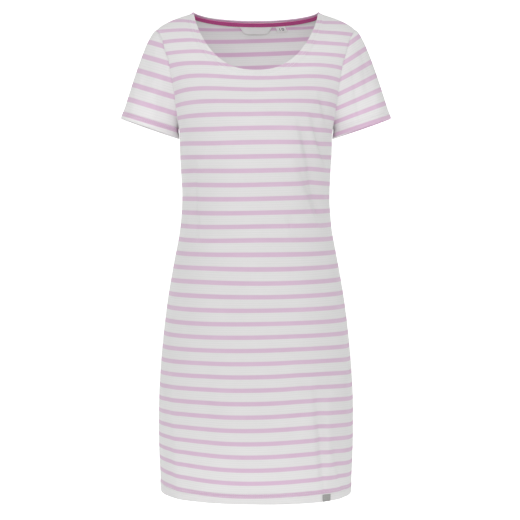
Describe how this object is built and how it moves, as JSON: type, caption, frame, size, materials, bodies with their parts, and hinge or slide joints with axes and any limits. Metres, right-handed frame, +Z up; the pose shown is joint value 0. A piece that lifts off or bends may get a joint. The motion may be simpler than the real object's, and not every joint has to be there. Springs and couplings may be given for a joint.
{
  "type": "t-shirt dress",
  "caption": "Short-sleeved striped jersey dress with a wide scoop neck, filled out as it is when worn, and hollow.",
  "frame": {"origin": "midway between the two neck points at the tops of the shoulder seams, where the wearer's shoulders carry the dress", "axes": "+Z up along the standing wearer, -Y to the front, +X to the wearer's left"},
  "size_m": [0.497, 0.2596, 0.8863],
  "materials": {
    "jersey": "matt cotton jersey, white with narrow lilac stripes",
    "tape": "woven cotton tape, fuchsia",
    "label": "white woven label",
    "tag": "grey woven tag"
  },
  "bodies": {
    "root": {"front": "jersey", "back": "jersey", "sleeve_left": "jersey", "sleeve_right": "jersey", "neck_tape": "tape", "main_label": "label", "size_label": "label", "hem_tag": "tag"}
  },
  "joints": []
}
